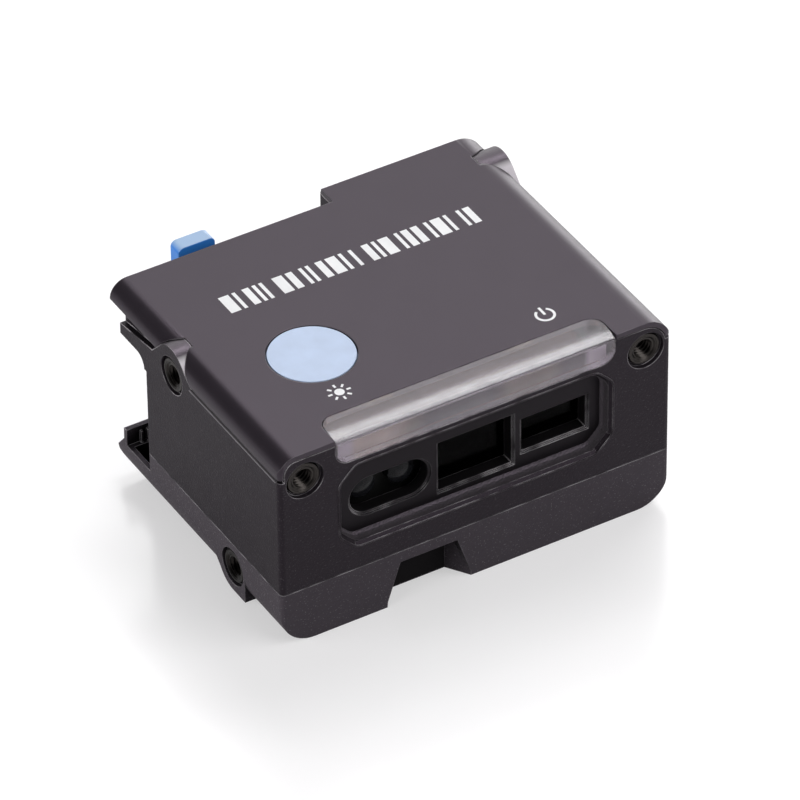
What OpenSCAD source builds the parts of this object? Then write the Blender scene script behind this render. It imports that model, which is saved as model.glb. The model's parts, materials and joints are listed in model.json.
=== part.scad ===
// Fixed barcode reader: a palm-sized imager in a moulded housing with a bonded lid,
// a screwed bottom cover, a push button, a status light pipe and a rear bay in which
// a cable plug is held by a sprung latch lever.
// Y is counted from the front face inside the modules; in_frame() centres the part.

/* [Body] */
// Width across the flat sides
body_w = 48; // [43:0.5:60]
// Depth of the right-hand section
body_d = 39; // [35:0.5:48]
// Overall height
body_h = 25; // [22.5:0.5:30]
// X position of the step between the two rear sections
step_x = 3.6; // [2:0.2:7]
// Wall thickness of the housing and of the bottom cover
wall = 1.5; // [1.2:0.1:1.7]
// Thickness of the front wall
front_wall = 2.6; // [2.2:0.1:3]
// Height of the seam between the housing and the bottom cover
seam_z = 7; // [6.7:0.1:7.4]
// Radius of the long lower edges
base_edge_r = 4; // [3:0.1:4.5]
// Rounding of the upright corners
corner_r = 0.6; // [0.3:0.1:0.8]
// Open joint between two mouldings
seam_gap = 0.1; // [0.05:0.01:0.15]

/* [Lid] */
// Thickness of the lid
lid_t = 0.6; // [0.5:0.1:0.8]
// Radius of the lid's left-hand edge
left_edge_r = 2.1; // [1.8:0.1:2.4]
// Radius of the lid's right-hand edge
right_edge_r = 3.4; // [2.8:0.1:3.6]
// Height of the lid's edge
skirt_h = 2.6; // [2.4:0.1:2.7]
// Shadow gap under the lid's edge
skirt_gap = 0.4; // [0.3:0.1:0.6]
// Height of the lid's edge behind the left-hand boss
rear_skirt_h = 2.1; // [1.8:0.1:2.3]
// Distance from the rear face to the lid's rear edge
lid_inset = 0.6; // [0.3:0.1:0.9]

/* [Cable bay] */
// Distance from the bay's front wall to the latch lever
bay_reach = 8.4; // [8.2:0.1:8.8]
// Distance from the top of the lid to the underside of the bay roof
bay_roof_drop = 5.3; // [4.8:0.1:6]
// Distance from the bay roof's rear edge to the lid's rear edge
roof_setback = 2.1; // [1.6:0.1:2.6]
// Radius between the bay's front wall and its roof
bay_fillet = 1.5; // [0.8:0.1:2.5]
// Fall of the bay roof's upper edge towards its rear end
arm_fall = 1; // [0.5:0.1:1.2]
// Distance from the lid's rear edge over the bay to the latch lever
lid_rear_gap = 1.2; // [0.8:0.1:1.6]
// Distance from the tray's rearmost edge to the latch lever
tray_rear_gap = 1.8; // [1.4:0.1:2.2]
// Height of the tray's side wall
tray_wall_h = 4.6; // [4:0.1:5.5]
// Thickness of the tray's thin walls
tray_wall = 0.6; // [0.5:0.05:0.9]
// Pitch of the grip ribs inside the tray's rear wall
rib_pitch = 0.8; // [0.8:0.1:2]

/* [Mounting inserts] */
// Outer diameter of a threaded insert
insert_d = 3.9; // [3.6:0.1:4.2]
// Thread core diameter
insert_bore = 2.05; // [1.6:0.05:2.5]
// Length of a threaded insert
insert_l = 4; // [3:0.1:4.4]
// Distance of a front insert's axis from the side face
front_insert_inset = 3.15; // [3.1:0.05:3.4]
// Depth of a front insert's mouth behind the front face
front_mouth = 0.35; // [0.2:0.05:0.45]
// Depth of a side insert's mouth behind its side face
side_mouth = 0.15; // [0.1:0.05:0.3]
// Distance from the top of the lid to the front and upper side inserts
upper_insert_drop = 3.6; // [3.4:0.1:3.8]
// Distance of the left-hand upper insert from the bay's front wall
upper_left_inset = 6.1; // [5.6:0.1:6.8]
// Distance of the right-hand upper insert from the rear face
upper_right_inset = 4.9; // [4.9:0.1:6]
// Height of the lower side inserts
lower_insert_z = 3.8; // [3.7:0.1:3.9]
// Depth of the lower side inserts
lower_y = 10.4; // [10.2:0.1:12]
// Radius of the moulded boss round an insert
boss_r = 3.15; // [3:0.05:3.2]

/* [Window] */
// Distance from the window recess to the top of the lid
window_top = 4.5; // [4.4:0.1:4.8]
// Distance from the seam to the window recess
window_foot = 3.3; // [3.2:0.1:3.6]
// Distance of the recess's ends from the ends of the light pipe
window_inset = 0.65; // [0.55:0.05:1.2]
// Length cut off each corner of the window recess
window_cut = 1.8; // [1:0.1:2.2]
// Bevel of the recess's front edge
window_bevel = 0.35; // [0.2:0.05:0.4]
// Bevel of the recess's cut corners
cut_bevel = 0.5; // [0.45:0.05:0.6]
// Depth of the recess in front of the aperture mask
window_recess = 1.6; // [1.2:0.1:1.8]
// Distance of the optical axes below the middle of the recess
optic_drop = 0.7; // [0.5:0.1:0.8]
// Width of the mask beside the outer apertures
aperture_rim = 1.9; // [1.5:0.1:2.2]
// Width of the mask between two apertures
aperture_gap = 1.25; // [1:0.05:1.4]
// Share of the aiming slot in the width of all three apertures
slot_share = 0.36; // [0.35:0.01:0.37]
// Share of the camera aperture in the width of all three apertures
camera_share = 0.34; // [0.32:0.01:0.35]
// Height of the aiming slot
slot_h = 4.5; // [3.8:0.1:4.6]
// Height of the mask above and below the camera aperture
camera_rim = 1.95; // [1.8:0.05:2.3]
// Height of the lamp aperture
lamp_h = 4.2; // [3.4:0.1:4.4]

/* [Light pipe] */
// Distance of the light pipe's ends from the side faces
pipe_side = 6.95; // [6.85:0.05:8]
// Reach of the light pipe over the lid
pipe_d = 3.9; // [3.2:0.1:4.1]
// Reach of the light pipe down the front
pipe_h = 3.3; // [3:0.1:3.4]
// Thickness of the light pipe
pipe_t = 1.5; // [1.2:0.05:1.55]
// Corner radius of the light pipe
pipe_r = 1.6; // [0.8:0.1:2]
// Rounding of the light pipe's front edge
pipe_edge_r = 1; // [0.5:0.1:1.1]

/* [Push button] */
// Diameter of the button
button_d = 9.5; // [8:0.1:11]
// X position of the button
button_x = -11.8; // [-12.4:0.1:-11]
// Depth of the button's axis
button_y = 14; // [13:0.1:15]
// Travel of the button
button_travel = 0.35; // [0.2:0.05:0.4]
// Clearance round the button
button_clear = 0.15; // [0.1:0.01:0.25]

/* [Latch] */
// Distance of the latch lever's middle from the left side face
latch_inset = 11.4; // [10:0.1:14]
// Width of the finger tab
tab_w = 4.5; // [3.5:0.1:5]
// Thickness of the finger tab
tab_t = 1.8; // [1.6:0.1:1.9]
// Thickness of the lever
lever_t = 1.5; // [1.2:0.1:1.6]
// Distance from the rear face to the lever's front face
lever_inset = 2; // [1.9:0.1:2.2]
// Width of the lever's foot
foot_w = 5.6; // [5.2:0.1:6.4]
// Height of the pivot pin
pivot_z = 3.4; // [3.2:0.1:3.6]
// Diameter of the pivot pin
pin_d = 1.2; // [1:0.1:1.3]
// Running fit between the pin and the lever
pin_fit = 0.04; // [0.02:0.01:0.08]
// Side clearance of the lever
lever_clear = 0.2; // [0.1:0.05:0.3]
// Wire of the latch spring
wire_d = 0.35; // [0.25:0.05:0.4]

/* [Circuit boards] */
// Thickness of the boards
board_t = 1; // [0.8:0.1:1.2]
// Height of the bay connector
plug_h = 6; // [5:0.1:7]
// Distance from the bay connector to the step
plug_side = 4; // [3.8:0.1:6]
// Number of contacts in each of the connector's two rows
contacts = 8; // [5:1:8]

/* [Front notch] */
// X position of the notch under the front edge
notch_x = -6; // [-9:0.1:6]
// Width of the notch at the floor
notch_foot_w = 11; // [8.5:0.1:12]
// Width of the notch at its top
notch_top_w = 7; // [5:0.1:8.4]
// Width of the notch at its back
notch_back_w = 6.8; // [5:0.1:8]
// Height of the notch
notch_h = 5.5; // [3:0.1:5.8]
// Depth of the notch
notch_d = 2.6; // [2:0.1:3]

/* [Base screws] */
// Shank diameter
screw_d = 2; // [1.6:0.1:2.2]
// Head diameter
screw_head_d = 3.6; // [3:0.1:3.8]
// Distance of a screw's axis from the side faces
screw_inset = 4.4; // [4.2:0.1:4.8]

/* [Hidden] */
$fn = 48;
// Overlap by which a cut passes the face that it opens
eps = 0.5;
// Half the width, used on both sides
hw = body_w / 2;
// Upper and lower levels of the mouldings
skirt_z = body_h - skirt_h;
wall_top_z = skirt_z - skirt_gap;
lid_under_z = body_h - lid_t;
rim_inset = lid_t + seam_gap;
rim_z = body_h - rim_inset;
housing_z = seam_z + seam_gap / 2;
cover_z = seam_z - seam_gap / 2;
// Depths of the rear edges, from the lever forwards
lever_y = body_d - lever_inset;
left_d = lever_y - lid_rear_gap;
tray_d = lever_y - tray_rear_gap;
bay_roof_y = left_d - roof_setback;
bay_y = lever_y - bay_reach;
lid_d = body_d - lid_inset;
// Inner faces of the shell
inner_hw = hw - wall;
bay_inner_y = bay_y - wall;
rear_inner_y = body_d - wall;
// Insert seats: fit on the insert, wider mouth, closed end
insert_fit = 0.05;
insert_groove = 0.25;
seat_d = insert_d + 2 * insert_fit;
mouth_ring = 0.25;
mouth_d = seat_d + 2 * mouth_ring;
mouth_end = 0.6;
seat_end = front_mouth + insert_l + wall / 2;
seat_x = hw - seat_end;
front_pitch = body_w - 2 * front_insert_inset;
upper_insert_z = body_h - upper_insert_drop;
upper_left_y = bay_y - upper_left_inset;
upper_right_y = body_d - upper_right_inset;
boss_cut = 0.6;
// Depth by which a boss's straight flank enters its round crown
flank_sink = 0.05;
// Cable bay
bay_roof_z = body_h - bay_roof_drop;
tray_floor = 1.2;
tray_lip = 1.4;
tray_lip_y = tray_d - tray_lip;
tray_lip_drop = 0.3;
tray_lip_h = seam_z - tray_lip_drop;
// Window and apertures, set out between the seam, the lid and the ends of the light pipe
pipe_w = body_w - 2 * pipe_side;
window_w = pipe_w - 2 * window_inset;
window_h = body_h - seam_z - window_top - window_foot;
window_z = seam_z + window_foot + window_h / 2;
optic_z = window_z - optic_drop;
apertures_w = window_w - 2 * aperture_rim - 2 * aperture_gap;
slot_w = apertures_w * slot_share;
camera_w = apertures_w * camera_share;
lamp_w = apertures_w - slot_w - camera_w;
camera_h = window_h - 2 * camera_rim;
slot_x = aperture_rim + slot_w / 2 - window_w / 2;
camera_x = slot_x + slot_w / 2 + aperture_gap + camera_w / 2;
lamp_x = window_w / 2 - aperture_rim - lamp_w / 2;
// Distance of the recess's cut corners from its middle
cut_reach = (window_w / 2 + window_h / 2 - window_cut) / sqrt(2);
// Window stack, from the front wall inwards
mask_flange = 0.8;
mask_back_y = front_wall + mask_flange;
pane_t = 0.8;
pane_x0 = slot_x + slot_w / 2 + aperture_gap / 2;
pane_x1 = window_w / 2 - mask_flange / 2;
pane_back_y = mask_back_y + pane_t;
aperture_step = 0.25;
// Circuit boards
main_board_lift = 1;
main_board_z = seam_z + main_board_lift;
main_board_top = main_board_z + board_t;
main_board_inset = 8;
main_board_hw = hw - main_board_inset;
key_board_drop = 4.1;
key_board_top = body_h - key_board_drop;
key_board_z = key_board_top - board_t;
key_board_inset = 6.4;
key_board_hw = hw - key_board_inset;
key_board_y = 7.2;
rail_w = 0.8;
rail_t = 1.2;
// Optics block, between the two boards
block_gap = 0.3;
block_foot = 1.4;
block_y = pane_back_y + block_gap;
block_l = 8.5;
block_z0 = main_board_top + block_foot;
block_z1 = key_board_z - block_gap;
block_margin = 0.8;
block_x0 = slot_x - slot_w / 2 - block_margin;
block_x1 = lamp_x + lamp_w / 2 + block_margin;
sensor_board_y = block_y + block_l;
main_board_setback = 3;
main_board_y = block_y + main_board_setback;
// Optical pieces
aimer_x = [slot_x - slot_w / 4, slot_x + slot_w / 4];
aimer_set = 1.4;
aimer_y = window_recess + aimer_set;
aimer_bore = 3.2;
barrel_max_d = 7;
barrel_d = min(barrel_max_d, 2 * (optic_z - block_z0 - block_margin));
barrel_wall = 0.8;
barrel_stop = 1.5;
lens_fit = 0.05;
lens_t = 1.6;
lens_pitch = 3.2;
sensor_w = 5.6;
sensor_h = 4.4;
sensor_t = 0.9;
sensor_room = 1.2;
lamp_chip = 1.8;
aimer_chip = 1.6;
chip_t = 0.7;
// Status lights
pipe_z = body_h - pipe_h;
shelf_z = pipe_z - seam_gap;
status_led_w = 3;
status_led_h = 1;
flex_t = 0.15;
// Packages on the lower board, each as share of the half width, width, depth and height
chips = [[0.125, 7, 7, 1.2], [-0.375, 6, 3.5, 1], [-0.875, 5, 3, 0.9]];
chip_setback = 2.5;
chip_y = sensor_board_y + chip_setback;
header_inset = 4;
header_x = main_board_hw - header_inset;
header_w = 3;
header_l = 7;
// Base screws, and the x and y of each
screw_head_h = 1.3;
screw_recess = 0.6;
screw_fit = 0.2;
screw_l = 11;
screw_end_room = 1;
screw_post_r = 2.4;
screw_post_gap = 1.85;
screw_post_top = key_board_z - screw_post_gap;
screw_x = hw - screw_inset;
post_sink = wall / 4;
screw_front_y = front_wall + screw_post_r - post_sink;
screw_left_y = bay_inner_y - screw_post_r + post_sink;
screw_right_y = rear_inner_y - screw_post_r + post_sink;
screw_spots = [
    [-screw_x, screw_front_y], [screw_x, screw_front_y],
    [-screw_x, screw_left_y], [screw_x, screw_right_y]
];
// Bay connector, between the left-hand post and the step
plug_gap = 0.8;
plug_x0 = screw_post_r + plug_gap - screw_x;
plug_x1 = step_x - plug_side;
plug_w = plug_x1 - plug_x0;
plug_x = (plug_x0 + plug_x1) / 2;
shroud = 0.8;
plug_lip = 0.8;
plug_back = 3.4;
plug_floor = 1.4;
contact_w = 0.5;
contact_row = 1;
// Button stack
flange_t = 0.65;
flange_w = 0.8;
flange_gap = 0.05;
button_flange_z = lid_under_z - flange_t - flange_gap;
switch_w = 4.5;
switch_top = button_flange_z - button_travel - flange_gap;
plunger_d = 2;
plunger_fit = 0.06;
plunger_l = 1.3;
// Sealing groove of the bottom cover
gasket_w = 0.7;
gasket_h = 0.6;
// Latch
latch_x = latch_inset - hw;
pivot_y = lever_y + lever_t / 2;
knuckle_r = 1.2;
knuckle_w = 1.5;
ear_t = 1.3;
ear_x = foot_w / 2 + lever_clear;
stop_gap = 0.15;
stop_z = pivot_z + knuckle_r + 0.6;
slot_top = pivot_z + knuckle_r + 0.4;
spring_room = foot_w - 2 * knuckle_w;
tab_corner = 0.7;
shoulder_drop = 3;
shoulder_z = body_h - shoulder_drop;
shoulder_l = 4;
pad_z = main_board_top + plug_h / 2;
pad_l = 3;
pad_reach = 0.9;
// Latch spring
coil_r = lever_t / 2 + wire_d / 2 + 0.03;
coil_turns = 3.25;
coil_w = spring_room - 2 * wire_d - 0.4;
coil_steps = 14;
wire_sides = 8;
leg_up = 4;
leg_back = 2.6;

// Limits of a stretch, from its middle or from its start
function span(middle, size) = [middle - size / 2, middle + size / 2];
function from(start, size) = [start, start + size];

// Placing helpers
module in_frame() translate([0, -body_d / 2, 0]) children();
module slab(x, y, z) translate([x[0], y[0], z[0]]) cube([x[1] - x[0], y[1] - y[0], z[1] - z[0]]);
module along_y(y) translate([0, y[1], 0]) rotate([90, 0, 0]) linear_extrude(y[1] - y[0]) children();
module along_x(x) translate([x[0], 0, 0]) rotate([90, 0, 90]) linear_extrude(x[1] - x[0]) children();
module rod_y(x, z, y, d) translate([x, y[0], z]) rotate([-90, 0, 0]) cylinder(h = y[1] - y[0], d = d);
module rod_x(y, z, x, d) translate([x[0], y, z]) rotate([0, 90, 0]) cylinder(h = x[1] - x[0], d = d);
// A thing made for the left side, and its mirror image on the right side
module both_sides() {
    children();
    mirror([1, 0, 0]) children();
}

// Rectangle with four round corners, in the plane of the sketch
module round_rect(x, y, r) {
    translate([x[0] + r, y[0]]) square([x[1] - x[0] - 2 * r, y[1] - y[0]]);
    translate([x[0], y[0] + r]) square([x[1] - x[0], y[1] - y[0] - 2 * r]);
    for (cx = [x[0] + r, x[1] - r], cy = [y[0] + r, y[1] - r])
        translate([cx, cy]) circle(r);
}

// Upper end of the body's cross-section, set in from the outer skin
module lid_section(inset, z0) {
    top = body_h - inset;
    left_r = left_edge_r - inset;
    right_r = right_edge_r - inset;
    left_x = left_edge_r - hw;
    right_x = hw - right_edge_r;
    intersection() {
        union() {
            translate([left_x, seam_z]) square([right_x - left_x, top - seam_z]);
            translate([left_x - left_r, seam_z]) square([body_w / 2, top - left_r - seam_z]);
            translate([0, seam_z]) square([right_x + right_r, top - right_r - seam_z]);
            translate([left_x, top - left_r]) circle(left_r);
            translate([right_x, top - right_r]) circle(right_r);
        }
        translate([-hw, z0]) square([body_w, body_h - z0]);
    }
}

// Lower end of the body's cross-section
module base_section(inset, z1) {
    intersection() {
        round_rect([inset - hw, hw - inset], [inset, body_h], base_edge_r - inset);
        translate([-hw, 0]) square([body_w, z1]);
    }
}

// Plan of the shell
module shell_plan() {
    round_rect([-hw, hw], [0, bay_y], corner_r);
    round_rect([step_x, hw], [0, body_d], corner_r);
}

// Hump with 45 degree flanks that carries an upper side insert
module hump_outline(y, margin) {
    flank = (boss_r + margin - flank_sink) * sqrt(2);
    tangent = flank / 2;
    crown_z = body_h - boss_r;
    difference() {
        union() {
            polygon([
                [y - flank, crown_z], [y - tangent, crown_z + tangent],
                [y + tangent, crown_z + tangent], [y + flank, crown_z]
            ]);
            translate([y, crown_z]) circle(boss_r + margin);
        }
        translate([y - 2 * flank, crown_z - flank]) square([4 * flank, flank + wall_top_z - crown_z]);
    }
}

// Outlines of the light pipe from above and from the front
module pipe_plan(margin) {
    round_rect([-pipe_w / 2 - margin, pipe_w / 2 + margin], [-pipe_d, pipe_d + margin], pipe_r + margin);
}
module pipe_front(margin) {
    x = pipe_w / 2 + margin;
    round_rect([-x, x], [pipe_z - margin, body_h + pipe_h], pipe_r + margin);
}

// Apertures of the mask, grown by a margin
module apertures(margin) {
    slot_end = slot_h / 2 + margin;
    round_rect([slot_x - slot_w / 2 - margin, slot_x + slot_w / 2 + margin],
               [optic_z - slot_end, optic_z + slot_end], slot_end - 0.02);
    translate([camera_x, optic_z]) square([camera_w + 2 * margin, camera_h + 2 * margin], center = true);
    translate([lamp_x, optic_z]) square([lamp_w + 2 * margin, lamp_h + 2 * margin], center = true);
}

// Window outline on the front wall: a rectangle with its corners cut off
module window_outline(margin) {
    x = window_w / 2 + margin;
    z = window_h / 2 + margin;
    cut = window_cut + (2 - sqrt(2)) * margin;
    translate([0, window_z]) polygon([
        [cut - x, -z], [x - cut, -z], [x, cut - z], [x, z - cut],
        [x - cut, z], [cut - x, z], [-x, z - cut], [-x, cut - z]
    ]);
}

// Funnel that bevels the front edge of the recess, made of its pairs of opposite flanks
module bevel_flanks(angle, reach, bevel) {
    outer = reach + bevel + eps;
    inner = reach - eps;
    depth = bevel + eps;
    translate([0, 0, window_z]) rotate([0, angle, 0]) translate([0, 0, -body_w])
        linear_extrude(2 * body_w)
            polygon([[-outer, -eps], [outer, -eps], [inner, depth], [-inner, depth]]);
}
module window_funnel() {
    intersection() {
        bevel_flanks(0, window_w / 2, window_bevel);
        bevel_flanks(90, window_h / 2, window_bevel);
        bevel_flanks(45, cut_reach, cut_bevel);
        bevel_flanks(-45, cut_reach, cut_bevel);
    }
}

// Seats of the inserts: the body bore and the wider mouth
module front_seats() {
    both_sides() {
        rod_y(-front_pitch / 2, upper_insert_z, [-eps, seat_end], seat_d);
        rod_y(-front_pitch / 2, upper_insert_z, [-eps, mouth_end], mouth_d);
    }
}
module side_seat(y, z) {
    rod_x(y, z, [-hw - eps, -seat_x], seat_d);
    rod_x(y, z, [-hw - eps, mouth_end - hw], mouth_d);
}

// Housing
module main_housing() color("#3a383b") in_frame() {
    difference() {
        union() {
            housing_shell();
            housing_bosses();
        }
        front_seats();
        side_seat(upper_left_y, upper_insert_z);
        mirror([1, 0, 0]) side_seat(upper_right_y, upper_insert_z);
        along_y([-eps, front_wall + eps]) window_outline(0);
        window_funnel();
        along_y([-eps, front_wall + eps]) pipe_front(seam_gap);
        for (spot = screw_spots)
            translate([spot[0], spot[1], 0])
                cylinder(h = screw_l + screw_end_room, d = screw_d + 2 * insert_fit);
        slab([plug_x0 - seam_gap, plug_x1 + seam_gap], [bay_inner_y - eps, bay_y + eps],
             from(main_board_top - seam_gap, plug_h + 2 * seam_gap));
    }
}

// Outer walls, the rim under the lid and the roof of the bay
module housing_shell() {
    difference() {
        union() {
            translate([0, 0, housing_z]) linear_extrude(wall_top_z - housing_z) shell_plan();
            slab([-hw, step_x], [bay_inner_y, bay_roof_y], [bay_roof_z, wall_top_z]);
            intersection() {
                along_y([0, body_d]) lid_section(rim_inset, seam_z);
                union() {
                    translate([0, 0, housing_z]) linear_extrude(body_h) shell_plan();
                    slab([-hw, step_x], [0, bay_roof_y], [bay_roof_z, body_h]);
                }
            }
            along_x([-hw, step_x]) difference() {
                translate([bay_inner_y, bay_roof_z - bay_fillet])
                    square([wall + bay_fillet, bay_fillet + wall / 2]);
                translate([bay_y + bay_fillet, bay_roof_z - bay_fillet]) circle(bay_fillet);
            }
        }
        slab([-inner_hw, inner_hw], [front_wall, bay_inner_y], [housing_z - eps, body_h + eps]);
        slab([step_x + wall, inner_hw], [front_wall, rear_inner_y], [housing_z - eps, body_h + eps]);
        along_x([-hw - eps, rim_inset - hw]) polygon([
            [bay_inner_y, wall_top_z], [bay_roof_y + eps, wall_top_z - arm_fall],
            [bay_roof_y + eps, body_h], [bay_inner_y, body_h]
        ]);
    }
}

// Bosses, rails and posts inside the shell
module housing_bosses() {
    intersection() {
        both_sides()
            slab([-inner_hw - eps, boss_r - front_pitch / 2], [front_wall / 2, seat_end + wall],
                 [upper_insert_z - boss_r, body_h]);
        along_y([0, body_d]) lid_section(rim_inset, seam_z);
    }
    upper_boss(upper_left_y, left_edge_r);
    mirror([1, 0, 0]) upper_boss(upper_right_y, right_edge_r);
    both_sides()
        slab([-inner_hw - eps, rail_w - key_board_hw], [key_board_y, bay_inner_y - rail_w],
             [key_board_z - rail_t, key_board_z]);
    for (spot = screw_spots)
        translate([spot[0], spot[1], housing_z])
            cylinder(h = screw_post_top - housing_z, r = screw_post_r);
    for (spot = screw_spots)
        slab(spot[0] < 0 ? [-inner_hw - eps, spot[0]] : [spot[0], inner_hw + eps],
             span(spot[1], wall), [housing_z, screw_post_top]);
}

// Upper boss of the left side: a sleeve inside, and the hump that fills the lid's cut-out
module upper_boss(y, depth) {
    intersection() {
        rod_x(y, upper_insert_z, [wall / 2 - hw, wall / 2 - seat_x], boss_r * 2);
        slab([-hw, 0], [0, body_d], [0, rim_z]);
    }
    along_x([-hw, depth - hw]) hump_outline(y, 0);
}

// Lid
module top_cover() color("#4a474c") in_frame() {
    difference() {
        intersection() {
            lid_shell();
            linear_extrude(body_h + eps) round_rect([-hw, hw], [0, lid_d], corner_r);
        }
        slab([-hw - eps, step_x], [left_d, body_d + eps], [0, body_h + eps]);
        slab([-hw - eps, step_x], [upper_left_y, body_d], [0, body_h - rear_skirt_h]);
        along_x([-hw - eps, left_edge_r + seam_gap - hw]) hump_outline(upper_left_y, seam_gap);
        mirror([1, 0, 0])
            along_x([-hw - eps, right_edge_r + seam_gap - hw]) hump_outline(upper_right_y, seam_gap);
        translate([0, 0, skirt_z]) linear_extrude(skirt_h + eps) pipe_plan(seam_gap);
        translate([button_x, button_y, skirt_z]) cylinder(h = skirt_h + eps, d = button_d + 2 * button_clear);
    }
}

// Bent sheet of the lid, and the solid strip over the bay behind the roof
module lid_shell() {
    difference() {
        along_y([0, lid_d]) lid_section(0, skirt_z);
        along_y([-eps, body_d + eps]) lid_section(lid_t, seam_z);
    }
    along_y([bay_roof_y + seam_gap, left_d]) intersection() {
        lid_section(0, skirt_z);
        translate([-hw, skirt_z]) square([step_x + hw, skirt_h]);
    }
}

// Bottom cover
module bottom_cover() color("#48464a") in_frame() {
    difference() {
        union() {
            cover_shell();
            cover_bosses();
            cable_tray();
            latch_ears();
        }
        both_sides() side_seat(lower_y, lower_insert_z);
        front_notch();
        translate([0, 0, cover_z - gasket_h]) linear_extrude(gasket_h + eps) gasket_plan(seam_gap / 2);
        for (spot = screw_spots) translate([spot[0], spot[1], -eps]) {
            cylinder(h = cover_z + 2 * eps, d = screw_d + screw_fit);
            cylinder(h = eps + screw_recess + screw_head_h, d = screw_head_d + 2 * screw_fit);
        }
        rod_x(pivot_y, pivot_z, span(latch_x, 2 * (ear_x + ear_t + eps)), pin_d + pin_fit);
    }
}

// Dish of the bottom cover, with the rounded long edges
module cover_shell() {
    difference() {
        intersection() {
            along_y([0, body_d]) base_section(0, cover_z);
            linear_extrude(body_h) shell_plan();
        }
        intersection() {
            along_y([front_wall, rear_inner_y]) base_section(wall, body_h);
            union() {
                slab([-inner_hw, inner_hw], [front_wall, bay_inner_y], [wall, body_h]);
                slab([step_x + wall, inner_hw], [front_wall, rear_inner_y], [wall, body_h]);
            }
        }
    }
}

// Insert bosses on the rounded edges, screw columns, board posts and the notch's wall
module cover_bosses() {
    both_sides() intersection() {
        along_x([-hw, wall / 2 - seat_x]) lower_boss_outline();
        slab([-hw, 0], [0, body_d], [lower_insert_z - boss_r, cover_z]);
    }
    for (spot = screw_spots)
        translate([spot[0], spot[1], wall / 2]) cylinder(h = cover_z - wall / 2, r = screw_post_r);
    slab(span(notch_x, notch_foot_w + 2 * wall), [wall, notch_d + wall], [wall / 2, cover_z]);
    for (x = [-1, 1], y = [sensor_board_y, bay_inner_y - 2 * wall])
        translate([x * (main_board_hw - wall), y, wall / 2])
            cylinder(h = main_board_z - wall / 2, r = wall);
}

// Lower side boss: upright at the front, sloping away at the rear
module lower_boss_outline() {
    slope = (boss_r - flank_sink) * sin(45);
    intersection() {
        union() {
            translate([lower_y, lower_insert_z]) circle(boss_r);
            translate([lower_y - boss_r, lower_insert_z]) square([2 * boss_r, cover_z - lower_insert_z]);
            translate([lower_y - boss_r, lower_insert_z - boss_r]) square([boss_r, boss_r]);
            polygon([
                [lower_y, lower_insert_z], [lower_y + slope, lower_insert_z - slope],
                [lower_y + slope + cover_z, lower_insert_z - slope + cover_z], [lower_y, cover_z]
            ]);
        }
        translate([lower_y - boss_r + boss_cut, 0]) square([body_d, cover_z]);
    }
}

// Pocket under the front edge: it narrows upwards and towards its back
module front_notch() {
    intersection() {
        along_y([-eps, notch_d]) polygon([
            [notch_x - notch_foot_w / 2, -eps], [notch_x + notch_foot_w / 2, -eps],
            [notch_x + notch_top_w / 2, notch_h], [notch_x - notch_top_w / 2, notch_h]
        ]);
        translate([0, 0, -eps]) linear_extrude(body_h) polygon([
            [notch_x - notch_foot_w / 2, -eps], [notch_x + notch_foot_w / 2, -eps],
            [notch_x + notch_back_w / 2, notch_d], [notch_x - notch_back_w / 2, notch_d]
        ]);
    }
}

// Shallow tray under the cable bay, with grip ribs on its rear wall
module cable_tray() {
    difference() {
        intersection() {
            along_x([-hw, step_x + wall / 2]) polygon([
                [bay_inner_y, 0], [tray_d - 2 * tray_lip, 0],
                [tray_d, 2 * tray_lip], [tray_d, 2.6 * tray_lip],
                [tray_lip_y, tray_lip_h - tray_lip], [tray_lip_y, tray_lip_h],
                [tray_lip_y - tray_wall, tray_lip_h], [tray_lip_y - tray_wall, tray_wall_h],
                [bay_inner_y, tray_wall_h]
            ]);
            along_y([0, body_d]) base_section(0, tray_lip_h + eps);
        }
        intersection() {
            slab([tray_wall - hw, step_x], [bay_y, tray_lip_y - 2 * tray_wall],
                 [tray_floor, tray_lip_h + eps]);
            along_y([0, body_d]) base_section(tray_wall, body_h);
        }
    }
    for (x = [2 * rib_pitch - hw : rib_pitch : step_x - rib_pitch])
        slab([x, x + rib_pitch / 3], [tray_lip_y - 1.6 * tray_wall, tray_lip_y - tray_wall / 2],
             [tray_wall_h - tray_wall, tray_lip_h - tray_wall]);
}

// Two ears for the pin and a stop behind the tray, for the latch lever
module latch_ears() {
    for (x0 = [latch_x - ear_x - ear_t, latch_x + ear_x]) {
        slab([x0, x0 + ear_t], [tray_lip_y - tray_wall, pivot_y], [pivot_z - knuckle_r, pivot_z + knuckle_r]);
        rod_x(pivot_y, pivot_z, [x0, x0 + ear_t], 2 * knuckle_r);
    }
    slab(span(latch_x, 2 * ear_x), [tray_lip_y - tray_wall / 2, lever_y - stop_gap],
         [stop_z, tray_lip_h - tray_wall / 2]);
}

// Seal between the housing and the bottom cover
module gasket_plan(margin) {
    difference() {
        gasket_loop(wall / 2 - gasket_w / 2 - margin);
        gasket_loop(wall / 2 + gasket_w / 2 + margin);
    }
}
module gasket_loop(inset) {
    translate([inset - hw, inset]) square([body_w - 2 * inset, bay_y - 2 * inset]);
    translate([step_x + inset, inset]) square([hw - step_x - 2 * inset, body_d - 2 * inset]);
}
module base_gasket() color("#1c1c1e") in_frame() {
    translate([0, 0, cover_z - gasket_h]) linear_extrude(gasket_h + seam_gap) gasket_plan(0);
}

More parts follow.
